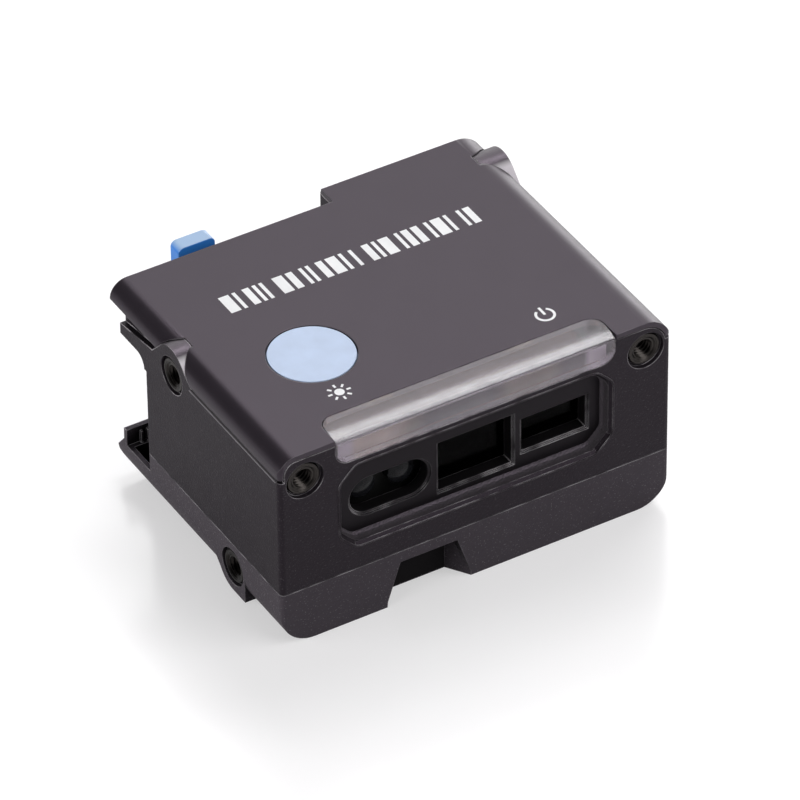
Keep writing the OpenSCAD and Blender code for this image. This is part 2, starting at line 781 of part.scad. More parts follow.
// Light pipe: an angled clear bar over the front upper edge
module light_pipe() color("#b9b4bb") in_frame() {
    intersection() {
        along_x([-pipe_w / 2, pipe_w / 2]) difference() {
            union() {
                translate([0, pipe_z]) square([pipe_t, pipe_h - pipe_edge_r]);
                translate([pipe_edge_r, body_h - pipe_t]) square([pipe_d - pipe_edge_r, pipe_t]);
                translate([pipe_edge_r, body_h - pipe_edge_r]) circle(pipe_edge_r);
                translate([pipe_edge_r, body_h - pipe_t]) square([pipe_t - pipe_edge_r + eps, pipe_t]);
            }
            translate([pipe_t, pipe_z - eps]) square([pipe_d, pipe_h - pipe_t + eps]);
        }
        linear_extrude(body_h) pipe_plan(0);
        along_y([0, pipe_d]) pipe_front(0);
    }
}

// Mask with the three apertures, seated behind the front wall
module aperture_mask() color("#0d0d0f") in_frame() {
    difference() {
        union() {
            along_y([window_recess, mask_back_y]) window_outline(-seam_gap);
            along_y([front_wall, mask_back_y]) window_outline(mask_flange);
        }
        along_y([window_recess - eps, mask_back_y + eps]) apertures(0);
        along_y([window_recess - eps, window_recess + aperture_step]) apertures(aperture_step);
    }
}

// Clear pane behind the camera and lamp apertures
module window_pane() color("#22303a") in_frame() {
    slab([pane_x0, pane_x1], [mask_back_y, pane_back_y], span(window_z, window_h - mask_flange));
}

// Push button with its retaining flange and stem
module push_button() color("#bcd3f0") in_frame() {
    translate([button_x, button_y, 0]) {
        translate([0, 0, button_flange_z]) cylinder(h = body_h - button_flange_z, d = button_d);
        translate([0, 0, button_flange_z])
            cylinder(h = flange_t, d = button_d + 2 * (button_clear + flange_w));
    }
}

// Plunger under the button's centre, moving with it
module switch_plunger() color("#d8d4c8") in_frame() {
    translate([button_x, button_y, button_flange_z - plunger_l]) cylinder(h = plunger_l, d = plunger_d);
}

// Switch body with the plunger's bore
module tact_switch() color("#8f9296") in_frame() {
    translate([button_x, button_y, 0]) difference() {
        slab(span(0, switch_w), span(0, switch_w), [key_board_top, switch_top]);
        translate([0, 0, button_flange_z - plunger_l - button_travel - 2 * flange_gap])
            cylinder(h = body_h, d = plunger_d + 2 * plunger_fit);
    }
}

// Upper board: carries the switch and feeds the status lights
module key_board() color("#2f5a3a") in_frame() {
    slab([-key_board_hw, key_board_hw], [key_board_y, bay_inner_y - rail_w], [key_board_z, key_board_top]);
}

// Flexible strip from the upper board to the shelf behind the light pipe
module led_flex() color("#a8702c") in_frame() {
    x = pipe_w / 2 - pipe_r;
    slab([-x, x], [pipe_t + seam_gap, key_board_y + wall], [shelf_z, shelf_z + flex_t]);
    slab([-x, x], [key_board_y + wall - flex_t, key_board_y + wall], [key_board_top, shelf_z + flex_t]);
}

// Status lamps that shine into the light pipe
module status_leds() color("#cdbb5a") in_frame() {
    for (x = [-pipe_w / 4, pipe_w / 4])
        slab(span(x, status_led_w), from(pipe_t + seam_gap, status_led_h),
             from(shelf_z + flex_t, status_led_h));
}

// Lower board: processing and the cable interface
module main_board() color("#2f5a3a") in_frame() {
    slab([-main_board_hw, main_board_hw], [main_board_y, bay_inner_y - seam_gap],
         [main_board_z, main_board_top]);
}

// Packages on the lower board
module board_chips() color("#1b1b1d") in_frame() {
    for (chip = chips)
        slab(from(chip[0] * main_board_hw, chip[1]), from(chip_y, chip[2]), from(main_board_top, chip[3]));
}

// Stacking header between the two boards
module board_header() color("#202022") in_frame() {
    slab(from(header_x, header_w), from(chip_y, header_l), [main_board_top, key_board_z]);
}

// Upright board behind the optics
module imager_board() color("#2f5a3a") in_frame() {
    slab([block_x0, block_x1], from(sensor_board_y, board_t), [main_board_top, block_z1]);
}

// Image sensor on the camera axis
module image_sensor() color("#5a6472") in_frame() {
    slab(span(camera_x, sensor_w), [sensor_board_y - sensor_t, sensor_board_y], span(optic_z, sensor_h));
}

// Moulded block that holds every lens on its axis
module optics_block() color("#151517") in_frame() {
    difference() {
        slab([block_x0, block_x1], [block_y, sensor_board_y], [block_z0, block_z1]);
        rod_y(camera_x, optic_z, [block_y - eps, sensor_board_y + eps], barrel_d + 2 * lens_fit);
        for (x = aimer_x)
            rod_y(x, optic_z, [block_y - eps, sensor_board_y + eps], aimer_bore + 2 * lens_fit);
        slab(span(lamp_x, lamp_w), [block_y - eps, sensor_board_y + eps], span(optic_z, lamp_h));
        slab(span(camera_x, sensor_w + 2 * sensor_room), [sensor_board_y - sensor_room, sensor_board_y + eps],
             span(optic_z, sensor_h + 2 * sensor_room));
    }
}

// Camera barrel: a tube with a narrower stop at its front
module lens_barrel() color("#101012") in_frame() {
    barrel_end = sensor_board_y - sensor_room - lens_fit;
    difference() {
        rod_y(camera_x, optic_z, [block_y, barrel_end], barrel_d);
        rod_y(camera_x, optic_z, [block_y + barrel_wall, sensor_board_y], barrel_d - 2 * barrel_wall);
        rod_y(camera_x, optic_z, [block_y - eps, sensor_board_y], barrel_d - 2 * barrel_stop);
    }
}

// Glass element with a domed front, between two depths
module dome_lens(x, y, d) {
    intersection() {
        rod_y(x, optic_z, y, d);
        translate([x, y[0] + d, optic_z]) sphere(r = d);
    }
}
module camera_lenses() color("#6f8fae") in_frame() {
    for (y = [block_y + barrel_wall, block_y + barrel_wall + lens_pitch])
        dome_lens(camera_x, from(y, lens_t), barrel_d - 2 * barrel_wall - 2 * lens_fit);
}
module aimer_lenses() color("#c6ccd2") in_frame() {
    for (x = aimer_x) dome_lens(x, [aimer_y, block_y + lens_t], aimer_bore);
}

// Lamp package on the front of the upright board
module lamp_package(x, w) {
    slab(span(x, w), [sensor_board_y - chip_t, sensor_board_y], span(optic_z, w));
}
module aimer_leds() color("#d9d2b4") in_frame() {
    for (x = aimer_x) lamp_package(x, aimer_chip);
}
module lamp_leds() color("#d9d2b4") in_frame() {
    for (x = [lamp_x - lamp_w / 4, lamp_x + lamp_w / 4]) lamp_package(x, lamp_chip);
}

// Diffusing lens of the lighting unit
module lamp_lens() color("#aeb6bd") in_frame() {
    slab(span(lamp_x, lamp_w - 2 * seam_gap), from(block_y + block_gap, lens_t),
         span(optic_z, lamp_h - 2 * seam_gap));
}

// Socket for the cable plug, open to the rear
module interface_connector() color("#232325") in_frame() {
    mouth_y = bay_y + plug_lip;
    difference() {
        slab([plug_x0, plug_x1], [bay_inner_y - plug_back, mouth_y], from(main_board_top, plug_h));
        slab(span(plug_x, plug_w - 2 * shroud), [bay_inner_y - plug_floor, mouth_y + eps],
             from(main_board_top + shroud, plug_h - 2 * shroud));
    }
}

// Two rows of contact pins in the socket
module connector_contacts() color("#c9a44a") in_frame() {
    pitch = (plug_w - 4 * shroud) / contacts;
    for (row = [-contact_row, contact_row], i = [0 : contacts - 1])
        translate([plug_x + (i - (contacts - 1) / 2) * pitch, 0, main_board_top + plug_h / 2 + row])
            slab(span(0, contact_w), [bay_inner_y - plug_floor, bay_y], span(0, contact_w));
}

// Latch lever: finger tab above, a pad that bears on the plug, a forked foot on the pin
module latch_lever() color("#1a5fb4") in_frame() {
    difference() {
        union() {
            along_y(from(lever_y, tab_t)) tab_outline();
            along_y(from(lever_y, lever_t)) leg_outline();
            rod_x(pivot_y, pivot_z, span(latch_x, foot_w), 2 * knuckle_r);
            along_x(span(latch_x, tab_w)) polygon([
                [lever_y + lever_t / 2, pad_z - pad_l / 2], [lever_y, pad_z - pad_l / 2],
                [lever_y - pad_reach, pad_z - pad_l / 4], [lever_y - pad_reach, pad_z + pad_l / 4],
                [lever_y, pad_z + pad_l / 2], [lever_y + lever_t / 2, pad_z + pad_l / 2]
            ]);
        }
        rod_x(pivot_y, pivot_z, span(latch_x, 2 * foot_w), pin_d + 2 * pin_fit);
        slab(span(latch_x, spring_room), span(pivot_y, 4 * knuckle_r), [pivot_z - 2 * knuckle_r, slot_top]);
    }
}

// Front views of the finger tab and of the leg, which widens towards the foot
module tab_outline() {
    translate([latch_x, 0])
        round_rect([-tab_w / 2, tab_w / 2], [shoulder_z - 2 * tab_corner, body_h], tab_corner);
}
module leg_outline() {
    half_tab = tab_w / 2;
    half_foot = foot_w / 2;
    translate([latch_x, 0]) polygon([
        [-half_foot, pivot_z], [half_foot, pivot_z], [half_foot, shoulder_z - shoulder_l],
        [half_tab, shoulder_z], [-half_tab, shoulder_z], [-half_foot, shoulder_z - shoulder_l]
    ]);
}

// Pivot pin
module latch_pin() color("#b4b6b8") in_frame() {
    rod_x(pivot_y, pivot_z, span(latch_x, 2 * (ear_x + ear_t)), pin_d);
}

// Torsion spring: a coil round the pin, one leg up behind the lever, one towards the tray
function coil_point(t) = [
    latch_x + (t / coil_turns - 0.5) * coil_w,
    pivot_y + coil_r * cos(360 * t),
    pivot_z + coil_r * sin(360 * t)
];
function unit(v) = v / norm(v);
// Ring of points round a route point, square to the route
function ring(p, dir, r, sides) = let (
    side = unit(cross(dir, abs(dir[0]) > 0.9 ? [0, 1, 0] : [1, 0, 0])), up = cross(side, dir)
) [for (k = [0 : sides - 1]) p + r * (cos(360 * k / sides) * side + sin(360 * k / sides) * up)];
module wire(route, d, sides) {
    last = len(route) - 1;
    points = [
        for (i = [0 : last])
            each ring(route[i], unit(route[min(i + 1, last)] - route[max(i - 1, 0)]), d / 2, sides)
    ];
    caps = [[for (k = [sides - 1 : -1 : 0]) k], [for (k = [0 : sides - 1]) last * sides + k]];
    walls = [
        for (i = [0 : last - 1], k = [0 : sides - 1])
            let (next = (k + 1) % sides, low = i * sides, high = low + sides)
            [low + k, low + next, high + next, high + k]
    ];
    polyhedron(points, concat(caps, walls));
}
module latch_spring() color("#c4c6c8") in_frame() {
    turns = [for (i = [0 : ceil(coil_turns * coil_steps)]) coil_point(min(i / coil_steps, coil_turns))];
    upper_leg = coil_point(0) + [0, 0, leg_up];
    lower_leg = coil_point(coil_turns) - [0, leg_back, 0];
    wire(concat([upper_leg], turns, [lower_leg]), wire_d, wire_sides);
}

// Threaded insert lying along +Y, its mouth at the origin
module insert() {
    core = insert_bore / 2;
    rim = insert_d / 2;
    band = insert_l / 5;
    rotate([-90, 0, 0]) rotate_extrude() polygon([
        [core, insert_groove], [core + insert_groove, 0], [rim, 0], [rim, 2 * band],
        [rim - insert_groove, 2 * band], [rim - insert_groove, 3 * band], [rim, 3 * band],
        [rim, insert_l], [core, insert_l]
    ]);
}
module front_inserts() color("#4a4034") in_frame() {
    both_sides() translate([-front_pitch / 2, front_mouth, upper_insert_z]) insert();
}
module side_insert(y, z) translate([side_mouth - hw, y, z]) rotate([0, 0, -90]) insert();
module upper_side_inserts() color("#4a4034") in_frame() {
    side_insert(upper_left_y, upper_insert_z);
    mirror([1, 0, 0]) side_insert(upper_right_y, upper_insert_z);
}
module lower_side_inserts() color("#4a4034") in_frame() {
    both_sides() side_insert(lower_y, lower_insert_z);
}

// Cover screws with a cross recess
module base_screws() color("#8c8e90") in_frame() {
    cross_w = 0.5;
    for (spot = screw_spots) translate([spot[0], spot[1], screw_recess]) difference() {
        union() {
            cylinder(h = screw_head_h, d = screw_head_d);
            cylinder(h = screw_l - screw_recess, d = screw_d);
        }
        for (angle = [0, 90]) rotate([0, 0, angle])
            slab(span(0, 2 * screw_head_d / 3), span(0, cross_w), [-eps, screw_head_h / 2]);
    }
}

main_housing();
top_cover();
bottom_cover();
base_gasket();
light_pipe();
aperture_mask();
window_pane();
push_button();
switch_plunger();
tact_switch();
key_board();
led_flex();
status_leds();
main_board();
board_chips();
board_header();
imager_board();
image_sensor();
optics_block();
lens_barrel();
camera_lenses();
aimer_lenses();
aimer_leds();
lamp_lens();
lamp_leds();
interface_connector();
connector_contacts();
latch_lever();
latch_pin();
latch_spring();
front_inserts();
upper_side_inserts();
lower_side_inserts();
base_screws();
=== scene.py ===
import json
import math

import bmesh
import bpy
from mathutils import Matrix, Vector


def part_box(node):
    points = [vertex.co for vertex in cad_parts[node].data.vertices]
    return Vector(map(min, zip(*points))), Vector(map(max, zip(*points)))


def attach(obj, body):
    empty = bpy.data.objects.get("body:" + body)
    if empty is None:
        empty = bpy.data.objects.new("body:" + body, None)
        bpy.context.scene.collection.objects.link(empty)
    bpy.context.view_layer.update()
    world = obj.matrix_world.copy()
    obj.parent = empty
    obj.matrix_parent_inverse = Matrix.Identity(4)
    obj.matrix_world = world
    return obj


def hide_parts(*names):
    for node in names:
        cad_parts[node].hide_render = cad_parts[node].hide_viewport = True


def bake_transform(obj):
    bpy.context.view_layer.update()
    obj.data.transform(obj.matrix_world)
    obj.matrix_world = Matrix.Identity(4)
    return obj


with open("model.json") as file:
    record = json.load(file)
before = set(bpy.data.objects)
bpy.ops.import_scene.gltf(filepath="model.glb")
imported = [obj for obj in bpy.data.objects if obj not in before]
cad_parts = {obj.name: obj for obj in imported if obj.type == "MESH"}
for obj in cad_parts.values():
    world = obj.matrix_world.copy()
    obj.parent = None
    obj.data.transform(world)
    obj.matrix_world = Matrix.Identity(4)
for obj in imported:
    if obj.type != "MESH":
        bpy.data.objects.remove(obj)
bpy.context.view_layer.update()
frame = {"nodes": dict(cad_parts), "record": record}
nodes = frame["nodes"]
slot_of = {entry["node"]: entry["material_slot"] for entry in frame["record"]["subparts"]}
scene = bpy.context.scene
MM = 0.001


# Places from the frame, in millimetres

def box_mm(node):
    low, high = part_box(node)
    return low / MM, high / MM


body_low, body_high = box_mm("main_housing")
lid_low, lid_high = box_mm("top_cover")
pipe_low, pipe_high = box_mm("light_pipe")
mask_low, mask_high = box_mm("aperture_mask")
front_insert_low, front_insert_high = box_mm("front_inserts")
side_insert_low, side_insert_high = box_mm("upper_side_inserts")
FRONT_Y = body_low.y
LID_TOP = lid_high.z
INSERT_R = (front_insert_high.z - front_insert_low.z) / 2
INSERT_L = front_insert_high.y - front_insert_low.y


# Nodes of materials and of the world

class Shading:
    """A node tree, with short ways to add nodes to it."""

    # Places of a colour mix among the sockets of the Mix node
    MIX_SHARE, MIX_FIRST, MIX_SECOND, MIX_RESULT = 0, 6, 7, 2

    def __init__(self, tree):
        self.nodes = tree.nodes
        self.links = tree.links

    def feed(self, socket, value):
        """Link an input to another node's output, or set it to a constant."""
        if isinstance(value, bpy.types.NodeSocket):
            self.links.new(value, socket)
        elif socket.type == "RGBA":
            socket.default_value = (*value, 1.0)
        else:
            socket.default_value = value

    def coords(self, kind):
        return self.nodes.new("ShaderNodeTexCoord").outputs[kind]

    def part(self, axis, vector):
        node = self.nodes.new("ShaderNodeSeparateXYZ")
        self.feed(node.inputs[0], vector)
        return node.outputs[axis]

    def level(self, value, low, high, to_low, to_high):
        """A value moved from one range to another, and held inside that."""
        node = self.nodes.new("ShaderNodeMapRange")
        for name, given in (("Value", value), ("From Min", low), ("From Max", high),
                            ("To Min", to_low), ("To Max", to_high)):
            self.feed(node.inputs[name], given)
        return node.outputs["Result"]

    def calc(self, operation, *values, clamp=False):
        node = self.nodes.new("ShaderNodeMath")
        node.operation = operation
        node.use_clamp = clamp
        for socket, value in zip(node.inputs, values):
            self.feed(socket, value)
        return node.outputs[0]

    def dot(self, first, second):
        node = self.nodes.new("ShaderNodeVectorMath")
        node.operation = "DOT_PRODUCT"
        self.feed(node.inputs[0], first)
        self.feed(node.inputs[1], second)
        return node.outputs["Value"]

    def mix(self, share, first, second):
        """A colour between two colours."""
        node = self.nodes.new("ShaderNodeMix")
        node.data_type = "RGBA"
        self.feed(node.inputs[self.MIX_SHARE], share)
        self.feed(node.inputs[self.MIX_FIRST], first)
        self.feed(node.inputs[self.MIX_SECOND], second)
        return node.outputs[self.MIX_RESULT]


# Materials

CLOUD_SCALE, CLOUD_DETAIL, CLOUD_TINT, CLOUD_ROUGH = 420.0, 3.0, 0.12, 0.05
GRAIN_DETAIL = 2.0
SPECK_SCALE, SPECK_DETAIL, SPECK_NOISE = 5600.0, 0.0, (0.70, 0.76)
# Cosine between a face and its rounded corner, from no paler colour to the fullest painted highlight and wear
CORNER_TURN = (0.995, 0.90)
# Upward share of a rounded corner's direction, from least to most painted highlight
CORNER_LOOK, LOOK_LEAST = (-0.3, 0.5), 0.15
PATCH_SCALE, PATCH_DETAIL, PATCH_NOISE, PATCH_LEAST = 420.0, 1.5, (0.38, 0.62), 0.15
HOLLOW_OPEN = (0.5, 0.9)
CORNER_SAMPLES, HOLLOW_SAMPLES = 6, 4


def linear(r, g, b):
    """Scene-linear colour of an 8-bit display colour."""
    shares = (c / 255 for c in (r, g, b))
    return tuple(c / 12.92 if c <= 0.04045 else ((c + 0.055) / 1.055) ** 2.4 for c in shares)


class Finish(Shading):
    """A procedural material: a cloudy tint and roughness, and what the methods below add to that."""

    def __init__(self, name, colour, rough, metal=0.0, specular=0.5, sheen=(1.0, 1.0, 1.0)):
        self.name = name
        self.material = bpy.data.materials.new(name)
        self.material.use_nodes = True
        super().__init__(self.material.node_tree)
        self.shader = self.nodes["Principled BSDF"]
        self.place = self.coords("Object")
        self.bump = None
        self.feed(self.shader.inputs["Metallic"], metal)
        self.feed(self.shader.inputs["Specular IOR Level"], specular)
        self.feed(self.shader.inputs["Specular Tint"], sheen)
        self.cloud(colour, rough)

    def noise(self, scale, detail):
        node = self.nodes.new("ShaderNodeTexNoise")
        self.feed(node.inputs["Scale"], scale)
        self.feed(node.inputs["Detail"], detail)
        self.feed(node.inputs["Vector"], self.place)
        return node.outputs["Fac"]

    def paint(self, colour):
        self.colour = colour
        self.feed(self.shader.inputs["Base Color"], colour)

    def cloud(self, colour, rough):
        cloud = self.noise(CLOUD_SCALE, CLOUD_DETAIL)
        darker = tuple(c * (1 - CLOUD_TINT) for c in colour)
        paler = tuple(min(c * (1 + CLOUD_TINT), 1.0) for c in colour)
        self.paint(self.mix(cloud, darker, paler))
        least, most = max(rough - CLOUD_ROUGH, 0.0), min(rough + CLOUD_ROUGH, 1.0)
        self.feed(self.shader.inputs["Roughness"], self.level(cloud, 0, 1, least, most))

    def grain(self, scale, depth, strength):
        """A fine bump, with its depth in millimetres."""
        self.bump = self.nodes.new("ShaderNodeBump")
        self.feed(self.bump.inputs["Strength"], strength)
        self.feed(self.bump.inputs["Distance"], depth * MM)
        self.feed(self.bump.inputs["Height"], self.noise(scale, GRAIN_DETAIL))
        self.feed(self.shader.inputs["Normal"], self.bump.outputs["Normal"])
        return self

    def specks(self, colour):
        """Light dots, as a spark-eroded mould leaves on matt plastic."""
        dots = self.level(self.noise(SPECK_SCALE, SPECK_DETAIL), *SPECK_NOISE, 0, 1)
        self.paint(self.mix(dots, self.colour, colour))
        return self

    def edges(self, colour, radius=0.16, most=0.8):
        """Corners that shade as if rounded, with a paler colour painted on them, partly wear and partly
        painted highlight, patchy and strongest where they look up.
        """
        corner = self.nodes.new("ShaderNodeBevel")
        corner.samples = CORNER_SAMPLES
        self.feed(corner.inputs["Radius"], radius * MM)
        rounded = corner.outputs["Normal"]
        face = self.nodes.new("ShaderNodeNewGeometry").outputs["Normal"]
        painted_highlight = self.level(self.dot(rounded, face), *CORNER_TURN, 0, most)
        upper = self.level(self.part("Z", rounded), *CORNER_LOOK, LOOK_LEAST, 1)
        patchy = self.level(self.noise(PATCH_SCALE, PATCH_DETAIL), *PATCH_NOISE, PATCH_LEAST, 1)
        # Share of the corner's painted highlight and wear, most on corners that look up
        share = self.calc("MULTIPLY", self.calc("MULTIPLY", painted_highlight, upper), patchy)
        self.paint(self.mix(share, self.colour, colour))
        target = self.bump if self.bump else self.shader
        self.feed(target.inputs["Normal"], rounded)
        return self

    def painted_hollow_shade(self, reach, most):
        """Painted shade: darker where a face lies in a recess, within a reach in millimetres."""
        shade = self.nodes.new("ShaderNodeAmbientOcclusion")
        shade.samples = HOLLOW_SAMPLES
        shade.only_local = True
        self.feed(shade.inputs["Distance"], reach * MM)
        self.paint(self.mix(self.level(shade.outputs["AO"], *HOLLOW_OPEN, most, 0), self.colour, (0, 0, 0)))
        return self

    def painted_highlight(self, towards, colour, low, high):
        """Painted highlight: paler on faces that look the given way."""
        face = self.nodes.new("ShaderNodeNewGeometry").outputs["Normal"]
        share = self.level(self.dot(face, Vector(towards).normalized()), low, high, 0, 1)
        self.paint(self.mix(share, self.colour, colour))
        return self

    def bands(self, reach, end, stops):
        """Colours along the part's width, each at its place in millimetres, between two like ends."""
        ramp = self.nodes.new("ShaderNodeValToRGB")
        across = self.level(self.part("X", self.place), -reach * MM, reach * MM, 0, 1)
        self.feed(ramp.inputs["Fac"], across)
        for spot in ramp.color_ramp.elements:
            spot.color = (*end, 1.0)
        for x, colour in stops:
            ramp.color_ramp.elements.new(0.5 + 0.5 * x / reach).color = (*colour, 1.0)
        self.paint(ramp.outputs["Color"])
        return self

    def clear(self, amount, ior):
        self.feed(self.shader.inputs["Transmission Weight"], amount)
        self.feed(self.shader.inputs["IOR"], ior)
        return self


SHEEN = (0.98, 0.80, 1.0)
FILM_INSET = 0.65
FILM_X = pipe_high.x - FILM_INSET
WHITE = (0.97, 0.95, 0.97)
PALE = (0.94, 0.86, 0.64)
OLIVE = (0.34, 0.31, 0.20)
DIM = (0.06, 0.055, 0.05)
DARK = (0.01, 0.01, 0.01)
# Colours along the sheet behind the light pipe: the lamps' pale and olive, white at the ends as painted
# highlight, dark and dim between as painted shade
FILM_BANDS = (
    (-15.0, WHITE), (-14.2, PALE), (-10.6, PALE), (-7.6, OLIVE), (-5.4, DARK),
    (2.6, DARK), (4.8, OLIVE), (9.4, OLIVE), (11.4, DIM), (13.6, DIM), (14.4, WHITE),
)

materials = {finish.name: finish.material for finish in (
    # Its corners carry a painted highlight, with some wear
    Finish("housing_plastic", (0.0122, 0.0097, 0.0124), rough=0.45, specular=0.2, sheen=SHEEN)
    .grain(5200, 0.05, 0.7).specks((0.036, 0.032, 0.036)).edges((0.65, 0.62, 0.65), most=1.0),
    # Its corners carry a painted highlight, with some wear
    Finish("lid_plastic", (0.015, 0.0120, 0.0155), rough=0.33, sheen=SHEEN)
    .grain(9000, 0.008, 0.3).edges((0.16, 0.15, 0.16)),
    # Painted shade darkens this finish in recesses; its corners carry a painted highlight, with some wear
    Finish("base_plastic", (0.052, 0.045, 0.053), rough=0.5, specular=0.15, sheen=SHEEN)
    .grain(5200, 0.06, 0.7).specks((0.11, 0.10, 0.11)).painted_hollow_shade(8.0, 0.94).edges((0.50, 0.48, 0.50)),
    Finish("gasket_rubber", (0.012, 0.012, 0.012), rough=0.8).grain(3000, 0.02, 0.3),
    Finish("light_pipe_clear", (0.68, 0.62, 0.69), rough=0.17, specular=1.0).clear(0.9, 1.49),
    # Its corners carry a painted highlight, most on the lower lips of the openings
    Finish("mask_gloss", (0.006, 0.0055, 0.006), rough=0.42, specular=0.16, sheen=SHEEN)
    .grain(3000, 0.008, 0.3).edges((0.60, 0.58, 0.60), radius=0.18, most=0.9),
    Finish("window_glass", (0.03, 0.03, 0.036), rough=0.05).clear(1.0, 1.08),
    Finish("button_blue", linear(186, 202, 229), rough=0.42).grain(8000, 0.005, 0.2),
    Finish("switch_plastic", linear(216, 212, 200), rough=0.5),
    Finish("switch_metal", linear(170, 172, 176), rough=0.35, metal=1.0),
    Finish("circuit_board", linear(30, 84, 48), rough=0.4).grain(2200, 0.01, 0.2),
    Finish("flex_film", linear(150, 96, 30), rough=0.35),
    Finish("led_package", linear(226, 214, 150), rough=0.4),
    Finish("chip_package", (0.014, 0.014, 0.015), rough=0.5).grain(4000, 0.01, 0.3),
    Finish("sensor_die", linear(88, 98, 112), rough=0.2),
    Finish("optics_black", (0.006, 0.006, 0.006), rough=0.6, specular=0.2).grain(4000, 0.02, 0.4),
    # Its rims carry a painted highlight ring
    Finish("lens_glass", (0.022, 0.023, 0.027), rough=0.08, specular=0.25).clear(0.6, 1.3)
    .edges((0.12, 0.12, 0.13), radius=0.2),
    Finish("connector_black", (0.014, 0.014, 0.015), rough=0.42).grain(4000, 0.01, 0.2),
    Finish("contact_gold", (0.83, 0.61, 0.24), rough=0.25, metal=1.0),
    # Its upward faces are painted paler as a highlight, and its corners carry a painted highlight
    Finish("latch_blue", linear(52, 132, 222), rough=0.38).grain(6000, 0.015, 0.4)
    .painted_highlight((0, 0, 1), linear(156, 184, 218), 0.3, 0.95)
    .edges(linear(170, 205, 245), radius=0.2, most=0.5),
    Finish("pin_steel", (0.55, 0.55, 0.55), rough=0.3, metal=1.0),
    Finish("insert_brass", (0.038, 0.034, 0.032), rough=0.3, metal=1.0).grain(5000, 0.008, 0.3),
    Finish("screw_steel", (0.40, 0.40, 0.41), rough=0.3, metal=1.0),
    Finish("seal_resin", (0.050, 0.045, 0.050), rough=0.4, sheen=SHEEN).grain(4200, 0.12, 0.9),
    # Pale colour for the wall's ledge: a painted highlight
    Finish("painted_edge_highlight", (0.17, 0.16, 0.17), rough=0.35, sheen=SHEEN).grain(4000, 0.03, 0.6),
    # Glossier skin for the humps; its paler colour and its paler front flank are painted highlight
    Finish("boss_gloss_highlight", (0.045, 0.041, 0.045), rough=0.34, specular=0.6, sheen=SHEEN)
    .grain(3600, 0.03, 0.6).painted_highlight((0, -1, 1), (0.60, 0.58, 0.60), 0.93, 0.995),
    # Lamps' colour, with painted highlight and painted shade along the sheet's width
    Finish("lamp_and_painted_light", PALE, rough=0.5).bands(FILM_X, WHITE, FILM_BANDS),
    # Painted shade for the notch under the front edge
    Finish("painted_notch_shade", (0.006, 0.005, 0.006), rough=0.7, specular=0.1).grain(4000, 0.02, 0.4),
    Finish("print_white", linear(236, 236, 238), rough=0.5).grain(6000, 0.003, 0.2),
)}


# CAD nodes: finish and small edge rounding, in millimetres

EDGE_ROUNDING = {
    "main_housing": 0.10, "top_cover": 0.10, "bottom_cover": 0.12, "aperture_mask": 0.06,
    "push_button": 0.08, "latch_lever": 0.18, "interface_connector": 0.08, "tact_switch": 0.05,
    "board_chips": 0.05, "board_header": 0.05, "base_screws": 0.06, "optics_block": 0.05,
    "lens_barrel": 0.05, "status_leds": 0.05, "aimer_leds": 0.04, "lamp_leds": 0.04,
}
WELD_REACH = 0.001
FLAT_ANGLE, SHARP_ANGLE = math.radians(0.6), math.radians(35)
ROUNDING_STEPS, FACE_WEIGHT = 2, 60


def weld(piece):
    """Join the faces' doubled points, and the flat faces themselves."""
    join = piece.modifiers.new("weld", "WELD")
    join.merge_threshold = WELD_REACH * MM
    flat = piece.modifiers.new("flat", "DECIMATE")
    flat.decimate_type = "DISSOLVE"
    flat.angle_limit = FLAT_ANGLE


def round_edges(piece, width):
    edge = piece.modifiers.new("edge", "BEVEL")
    edge.width = width * MM
    edge.segments = ROUNDING_STEPS
    edge.limit_method = "ANGLE"
    edge.angle_limit = SHARP_ANGLE
    edge.use_clamp_overlap = True
    shade = piece.modifiers.new("shade", "WEIGHTED_NORMAL")
    shade.weight = FACE_WEIGHT
    shade.keep_sharp = True


for name, piece in nodes.items():
    piece.data.materials.clear()
    piece.data.materials.append(materials[slot_of[name]])
    if name in EDGE_ROUNDING:
        weld(piece)
        round_edges(piece, EDGE_ROUNDING[name])


# Meshes of new pieces, with points in millimetres

DOUBLED = 0.0001
PRISM_SHARP = 30


def add_mesh(name, points, faces, material):
    mesh = bpy.data.meshes.new(name)
    mesh.from_pydata([[c * MM for c in point] for point in points], [], faces)
    mesh.update()
    mesh.materials.append(material)
    piece = bpy.data.objects.new(name, mesh)
    scene.collection.objects.link(piece)
    return piece


def clean(piece, sharp):
    """Merge doubled points, turn all faces outward and shade smoothly up to the given corner in degrees."""
    work = bmesh.new()
    work.from_mesh(piece.data)
    bmesh.ops.remove_doubles(work, verts=work.verts, dist=DOUBLED * MM)
    bmesh.ops.dissolve_degenerate(work, edges=work.edges, dist=DOUBLED * MM)
    bmesh.ops.recalc_face_normals(work, faces=work.faces)
    work.to_mesh(piece.data)
    work.free()
    for face in piece.data.polygons:
        face.use_smooth = True
    piece.data.set_sharp_from_angle(angle=math.radians(sharp))


def ring_faces(rings, count, first=0, closed=False):
    """Faces from each ring of points to the next one, and from the last to the first if closed."""
    faces = []
    for i in range(rings if closed else rings - 1):
        a, b = first + i * count, first + (i + 1) % rings * count
        faces += [(a + k, a + (k + 1) % count, b + (k + 1) % count, b + k) for k in range(count)]
    return faces


def add_prism(name, ends, caps, material, sharp=PRISM_SHARP):
    """A closed solid between two like outlines, whose ends are covered by the given faces."""
    count = len(ends[0])
    faces = ring_faces(2, count)
    for first in (0, count):
        faces += [tuple(first + k for k in cap) for cap in caps]
    piece = add_mesh(name, ends[0] + ends[1], faces, material)
    clean(piece, sharp)
    return piece


def strip_caps(count):
    """End faces of an outline that runs out along one line of points and back along another."""
    return [(i, i + 1, 2 * count - 2 - i, 2 * count - 1 - i) for i in range(count - 1)]


# Threaded inserts: outer wall, stepped rim, countersink and thread

